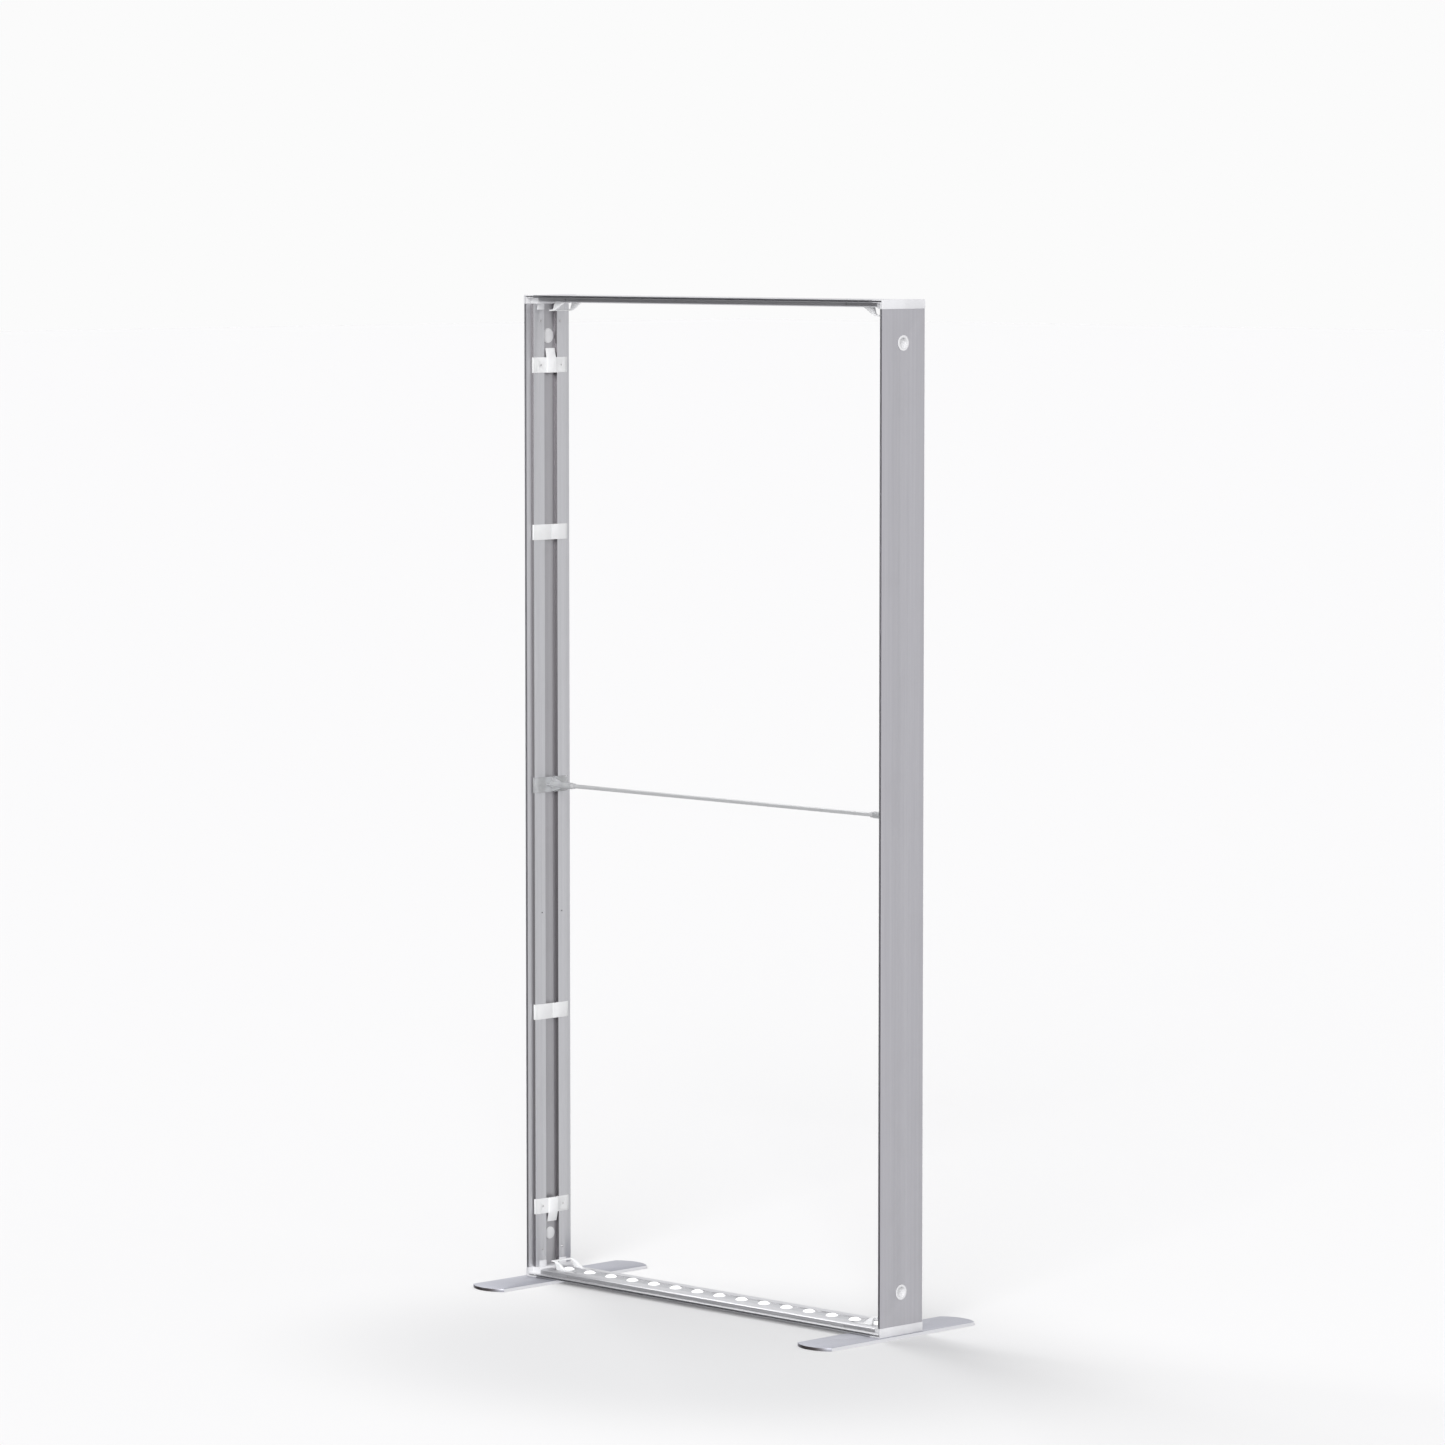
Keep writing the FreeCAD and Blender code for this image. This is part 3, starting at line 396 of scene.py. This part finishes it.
finishOf = {
    "led_tray": trayMetal, "led_board": boardMask, "led_end_caps": endPlastic, "led_lenses": lensGlow,
    "power_socket": socketPlastic, "brace_tube": braceMetal,
}
finishByEnding = [
    ("_upright", uprightMetal), ("_rail", railMetal), ("_corner_cap", capPlastic), ("_spigots", spigotSteel),
    ("_clip", whitePlastic), ("_lever", whitePlastic), ("_side_plug", plugPlastic),
    ("_plug_nut", plugPlastic), ("_brace_bracket", bracketPlastic), ("_collar", collarRubber),
    ("_foot", footCoat), ("_screws", zincSteel), ("_pins", zincSteel),
]


def finishFor(name):
    if name in finishOf:
        return finishOf[name]
    return [finish for ending, finish in finishByEnding if name.endswith(ending)][0]


for name, part in nodes.items():
    part.data.materials.clear()
    part.data.materials.append(finishFor(name))
print("finishes given to", len(nodes), "parts")


# moulded and cut parts with their edges eased

def bodyOf(name):
    return nodes[name]["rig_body"]


def onlySelect(piece):
    bpy.ops.object.select_all(action="DESELECT")
    piece.select_set(True)
    bpy.context.view_layer.objects.active = piece


def adopt(piece, name, finish=None):
    # the piece stands for the part, moves with its body and takes its finish
    if finish:
        piece.data.materials.clear()
        piece.data.materials.append(finish)
    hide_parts(name)
    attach(piece, bodyOf(name))
    return piece


def applyModifier(piece, kind, settings):
    onlySelect(piece)
    modifier = piece.modifiers.new(kind.lower(), kind)
    for key, value in settings.items():
        setattr(modifier, key, value)
    bpy.ops.object.modifier_apply(modifier=modifier.name)


softening = {"merge": 0.00001, "flat": 1, "segments": 2, "sharp": 32}


def softened(name, edge):
    onlySelect(nodes[name])
    bpy.ops.object.duplicate()
    piece = bpy.context.active_object
    piece.name = name + "_soft"
    piece.parent = None
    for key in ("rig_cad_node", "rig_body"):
        del piece[key]
    bpy.ops.object.mode_set(mode="EDIT")
    bpy.ops.mesh.select_all(action="SELECT")
    bpy.ops.mesh.remove_doubles(threshold=softening["merge"])
    bpy.ops.mesh.dissolve_limited(angle_limit=radians(softening["flat"]))
    bpy.ops.object.mode_set(mode="OBJECT")
    sharp = radians(softening["sharp"])
    applyModifier(piece, "BEVEL", {"width": edge, "segments": softening["segments"], "angle_limit": sharp})
    bpy.ops.object.shade_smooth_by_angle(angle=sharp)
    return adopt(piece, name)


edgeRounding = {
    "_upright": 0.00025, "_rail": 0.00025, "_corner_cap": 0.0004, "_foot": 0.0009, "_latch_lever": 0.0007,
    "_clip": 0.00025, "_brace_bracket": 0.0004, "_side_plug": 0.00025, "_end_caps": 0.0003, "_collar": 0.0004,
    "power_socket": 0.0004, "led_tray": 0.0002, "led_board": 0.0002, "_plug_nut": 0.0002,
    "latch_pins": 0.0002,
}
for name in sorted(nodes):
    for ending, edge in edgeRounding.items():
        if name.endswith(ending):
            softened(name, edge)
print("edges rounded")


# cross-recess screws in the uprights
screwSizes = {
    "corner_screws": {"face": 0.0150, "up": 0.0535, "across": 0.0272,
                      "head": 0.0024, "high": 0.0011, "long": 0.008},
    "clip_screws": {"face": 0.0163, "up": 0.1420, "across": 0.0278,
                    "head": 0.0019, "high": 0.0008, "long": 0.006},
}
screwShape = {
    "shank": 0.0014, "dome": 0.45, "recessLong": 1.15, "recessWide": 0.26, "recessDeep": 0.62,
    "recessTaper": (0.45, 0.8, 1), "thread": 0.0007, "ridge": 1.1, "firstTurn": 20, "nextTurn": 37,
}


def selectFaces(piece, test):
    bpy.ops.mesh.select_all(action="DESELECT")
    bpy.ops.object.mode_set(mode="OBJECT")
    for face in piece.data.polygons:
        face.select = test(face)
    bpy.ops.object.mode_set(mode="EDIT")
    bpy.context.tool_settings.mesh_select_mode = (False, False, True)


def facesUp(face):
    return face.normal.z > 0.9


def facesDown(face):
    return face.normal.z < -0.9


def recessCutter(sizes):
    # two crossed bars that taper as they go down
    head = sizes["head"]
    bars = []
    for turn in (0, pi / 2):
        bpy.ops.mesh.primitive_cube_add(size=1, location=(0, 0, sizes["high"]))
        bar = bpy.context.active_object
        bpy.ops.object.mode_set(mode="EDIT")
        deep = sizes["high"] * 2 * screwShape["recessDeep"]
        wide = head * screwShape["recessWide"]
        bpy.ops.transform.resize(value=(head * screwShape["recessLong"], wide, deep))
        selectFaces(bar, facesDown)
        bpy.ops.transform.resize(value=screwShape["recessTaper"])
        bpy.ops.mesh.select_all(action="SELECT")
        bpy.ops.transform.rotate(value=turn, orient_axis="Z", center_override=(0, 0, 0))
        bpy.ops.object.mode_set(mode="OBJECT")
        bars.append(bar)
    return bars


def makeScrew(name, sizes):
    # head along +Z from the origin, shank below it
    bpy.ops.object.select_all(action="DESELECT")
    bpy.ops.mesh.primitive_cylinder_add(vertices=28, radius=sizes["head"], depth=sizes["high"],
                                        location=(0, 0, sizes["high"] / 2))
    screw = bpy.context.active_object
    screw.name = name
    bpy.ops.object.transform_apply(location=True)
    bpy.ops.object.mode_set(mode="EDIT")
    selectFaces(screw, facesUp)
    bpy.ops.mesh.bevel(offset=sizes["high"] * screwShape["dome"], segments=4, affect="EDGES")
    selectFaces(screw, facesDown)
    bpy.ops.mesh.inset(thickness=sizes["head"] - screwShape["shank"])
    turns = int(sizes["long"] / screwShape["thread"])
    for turn in range(turns):
        # a shallow ridge and a root for each thread
        swell = screwShape["ridge"] if turn % 2 == 0 else 1 / screwShape["ridge"]
        step = -sizes["long"] / turns
        bpy.ops.mesh.extrude_region_move(TRANSFORM_OT_translate={"value": (0, 0, step)})
        bpy.ops.transform.resize(value=(1 / swell, 1 / swell, 1))
    bpy.ops.object.mode_set(mode="OBJECT")
    for bar in recessCutter(sizes):
        applyModifier(screw, "BOOLEAN", {"operation": "DIFFERENCE", "object": bar, "solver": "EXACT"})
        bpy.data.objects.remove(bar)
    onlySelect(screw)
    bpy.ops.object.shade_smooth_by_angle(angle=radians(40))
    return screw


def placeCopy(source, name, matrix):
    copy = source.copy()
    copy.data = source.data.copy()
    copy.name = name
    copy.data.transform(matrix)
    bpy.context.scene.collection.objects.link(copy)
    return copy


def joined(pieces, name):
    bpy.ops.object.select_all(action="DESELECT")
    for piece in pieces:
        piece.select_set(True)
    bpy.context.view_layer.objects.active = pieces[0]
    bpy.ops.object.join()
    pieces[0].name = name
    return pieces[0]


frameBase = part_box("left_foot")[1][2]
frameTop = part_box("top_left_corner_cap")[1][2]
profileInset = 0.0008
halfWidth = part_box("right_upright")[1][0] + profileInset

for node, sizes in screwSizes.items():
    pattern = makeScrew(node + "_pattern", sizes)
    copies = []
    for sideSign in (-1, 1):
        for height in (frameBase + sizes["up"], frameTop - sizes["up"]):
            for across in (-sizes["across"], sizes["across"]):
                spin = radians(screwShape["firstTurn"] + screwShape["nextTurn"] * len(copies))
                turn = Matrix.Rotation(-sideSign * pi / 2, 4, "Y") @ Matrix.Rotation(spin, 4, "Z")
                place = Matrix.Translation((sideSign * (halfWidth - sizes["face"]), across, height))
                copies.append(placeCopy(pattern, f"{node}_{len(copies)}", place @ turn))
    bpy.data.objects.remove(pattern)
    adopt(joined(copies, node + "_cross"), node, zincSteel)
print("screws made")


# lens optics of the light bar
lensShape = {
    "radius": 0.012, "dome": 0.0106, "flange": 0.0009, "rise": 0.0044, "pitch": 0.0625, "rings": 8,
    "crown": 0.30, "dimple": 0.0011, "dimpleSteps": ((0.3, 0.7), (0.7, 0.35)),
}


def makeLens():
    # a thin seating flange, a low dome and a shallow dimple over the light
    bpy.ops.object.select_all(action="DESELECT")
    bpy.ops.mesh.primitive_cylinder_add(vertices=48, radius=lensShape["radius"], depth=lensShape["flange"],
                                        location=(0, 0, lensShape["flange"] / 2))
    lens = bpy.context.active_object
    bpy.ops.object.transform_apply(location=True)
    bpy.ops.object.mode_set(mode="EDIT")
    selectFaces(lens, facesUp)
    bpy.ops.mesh.inset(thickness=lensShape["radius"] - lensShape["dome"])
    rings = lensShape["rings"]
    crown = lensShape["crown"]
    rise = lensShape["rise"] - lensShape["flange"]
    for ring in range(1, rings + 1):
        before = (ring - 1) / rings * pi / 2
        now = ring / rings * pi / 2
        reach = crown + (1 - crown) * cos(now)
        shrink = reach / (crown + (1 - crown) * cos(before))
        lift = rise * (sin(now) - sin(before))
        bpy.ops.mesh.extrude_region_move(TRANSFORM_OT_translate={"value": (0, 0, lift)})
        bpy.ops.transform.resize(value=(shrink, shrink, 1))
    for step, shrink in lensShape["dimpleSteps"]:
        lift = -lensShape["dimple"] * step
        bpy.ops.mesh.extrude_region_move(TRANSFORM_OT_translate={"value": (0, 0, lift)})
        bpy.ops.transform.resize(value=(shrink, shrink, 1))
    bpy.ops.object.mode_set(mode="OBJECT")
    bpy.ops.object.shade_smooth_by_angle(angle=radians(50))
    return lens


lensPattern = makeLens()
lensLow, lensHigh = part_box("led_lenses")
lensSpan = lensHigh[0] - lensLow[0] - lensShape["radius"] * 2
lensCount = round(lensSpan / lensShape["pitch"]) + 1
lensCopies = []
for number in range(lensCount):
    x = lensLow[0] + lensShape["radius"] + number * lensShape["pitch"]
    lensCopies.append(placeCopy(lensPattern, f"lens_{number}", Matrix.Translation((x, 0, lensLow[2]))))
bpy.data.objects.remove(lensPattern)
adopt(joined(lensCopies, "led_lens_domes"), "led_lenses", lensGlow)
print("lenses made:", lensCount)


# floor, lights and camera

studio = {
    "floorHalf": 80.0, "floorColour": (0.786, 0.784, 0.781, 1), "backdrop": (0.965, 0.965, 0.965, 1),
    "poolShade": (0.68, 0.68, 0.68, 1), "poolMiddle": (0.36, -0.40, 0), "poolReach": (1.15, 0.95, 1),
    "poolEdge": 0.75,
    "brightSky": (0.76, 0.76, 0.775, 1), "darkSky": (0.03, 0.03, 0.034, 1), "darkSide": (-0.78, -0.62, 0.0),
    "darkFrom": 0.45, "darkTo": 0.9,
    "sunPower": 1.15, "sunSpread": 30, "sunTilt": (0, -42, -10),
    "fillPower": 2.1, "fillSpread": 30, "fillFrom": (4.5, -6.5, 3.6),
}
camera = {
    "place": (8.685, -8.613, 2.176), "azimuth": 45.21, "pitch": 4.72, "lens": 154.6, "sensor": 36.0,
    "farEnd": 400,
}


def buildFloor():
    bpy.ops.object.select_all(action="DESELECT")
    bpy.ops.mesh.primitive_plane_add(size=studio["floorHalf"] * 2, location=(0, 0, 0))
    floor = bpy.context.active_object
    floor.name = "floor"
    material, tree, shader, place = startMaterial("floorPaper")
    # a wide soft pool of shade lies under the frame
    pool = addNode(tree, "ShaderNodeMapping", {"vector_type": "TEXTURE"},
                   {"Location": studio["poolMiddle"], "Scale": studio["poolReach"]})
    fade = addNode(tree, "ShaderNodeTexGradient", {"gradient_type": "SPHERICAL"})
    soft = addNode(tree, "ShaderNodeMapRange", {"interpolation_type": "SMOOTHERSTEP"},
                   {"From Max": studio["poolEdge"]})
    join(tree, [(place, pool.inputs["Vector"]), (pool.outputs[0], fade.inputs["Vector"]),
                (fade.outputs["Fac"], soft.inputs[0])])
    colour = mixColour(tree, soft.outputs[0], studio["floorColour"], studio["poolShade"])
    tree.links.new(colour, shader.inputs["Base Color"])
    shader.inputs["Roughness"].default_value = 1.0
    shader.inputs["Specular IOR Level"].default_value = 0.0
    floor.data.materials.append(material)
    floor.visible_glossy = False


def buildWorld():
    world = bpy.data.worlds.new("studioAir")
    bpy.context.scene.world = world
    world.use_nodes = True
    tree = world.node_tree
    tree.nodes.clear()
    direction = addNode(tree, "ShaderNodeTexCoord").outputs["Generated"]
    dark = addNode(tree, "ShaderNodeVectorMath", {"operation": "DOT_PRODUCT"})
    dark.inputs[1].default_value = Vector(studio["darkSide"]).normalized()
    tree.links.new(direction, dark.inputs[0])
    shade = addNode(tree, "ShaderNodeMapRange", {"interpolation_type": "SMOOTHSTEP"},
                    {"From Min": studio["darkFrom"], "From Max": studio["darkTo"]})
    tree.links.new(dark.outputs["Value"], shade.inputs[0])
    air = addNode(tree, "ShaderNodeBackground")
    tree.links.new(mixColour(tree, shade.outputs[0], studio["brightSky"], studio["darkSky"]), air.inputs[0])
    seen = addNode(tree, "ShaderNodeBackground", {}, {"Color": studio["backdrop"]})
    both = addNode(tree, "ShaderNodeMixShader")
    output = addNode(tree, "ShaderNodeOutputWorld")
    join(tree, [(addNode(tree, "ShaderNodeLightPath").outputs["Is Camera Ray"], both.inputs[0]),
                (air.outputs[0], both.inputs[1]), (seen.outputs[0], both.inputs[2]),
                (both.outputs[0], output.inputs["Surface"])])


def addSun(name, power, spreadAngle):
    light = bpy.data.lights.new(name, "SUN")
    light.energy = power
    light.angle = radians(spreadAngle)
    lamp = bpy.data.objects.new(name, light)
    bpy.context.scene.collection.objects.link(lamp)
    return lamp


def buildLights():
    side = addSun("sideLight", studio["sunPower"], studio["sunSpread"])
    side.rotation_euler = [radians(turn) for turn in studio["sunTilt"]]
    fill = addSun("frontFill", studio["fillPower"], studio["fillSpread"])
    fill.rotation_euler = (-Vector(studio["fillFrom"])).to_track_quat("-Z", "Y").to_euler()


def buildCamera():
    lens = bpy.data.cameras.new("camera")
    lens.lens = camera["lens"]
    lens.sensor_width = camera["sensor"]
    lens.clip_end = camera["farEnd"]
    body = bpy.data.objects.new("camera", lens)
    body.location = camera["place"]
    body.rotation_euler = (radians(90 - camera["pitch"]), 0, radians(camera["azimuth"]))
    bpy.context.scene.collection.objects.link(body)
    bpy.context.scene.camera = body


buildFloor()
buildWorld()
buildLights()
buildCamera()
bpy.context.scene.view_settings.view_transform = "Standard"
print("studio ready")
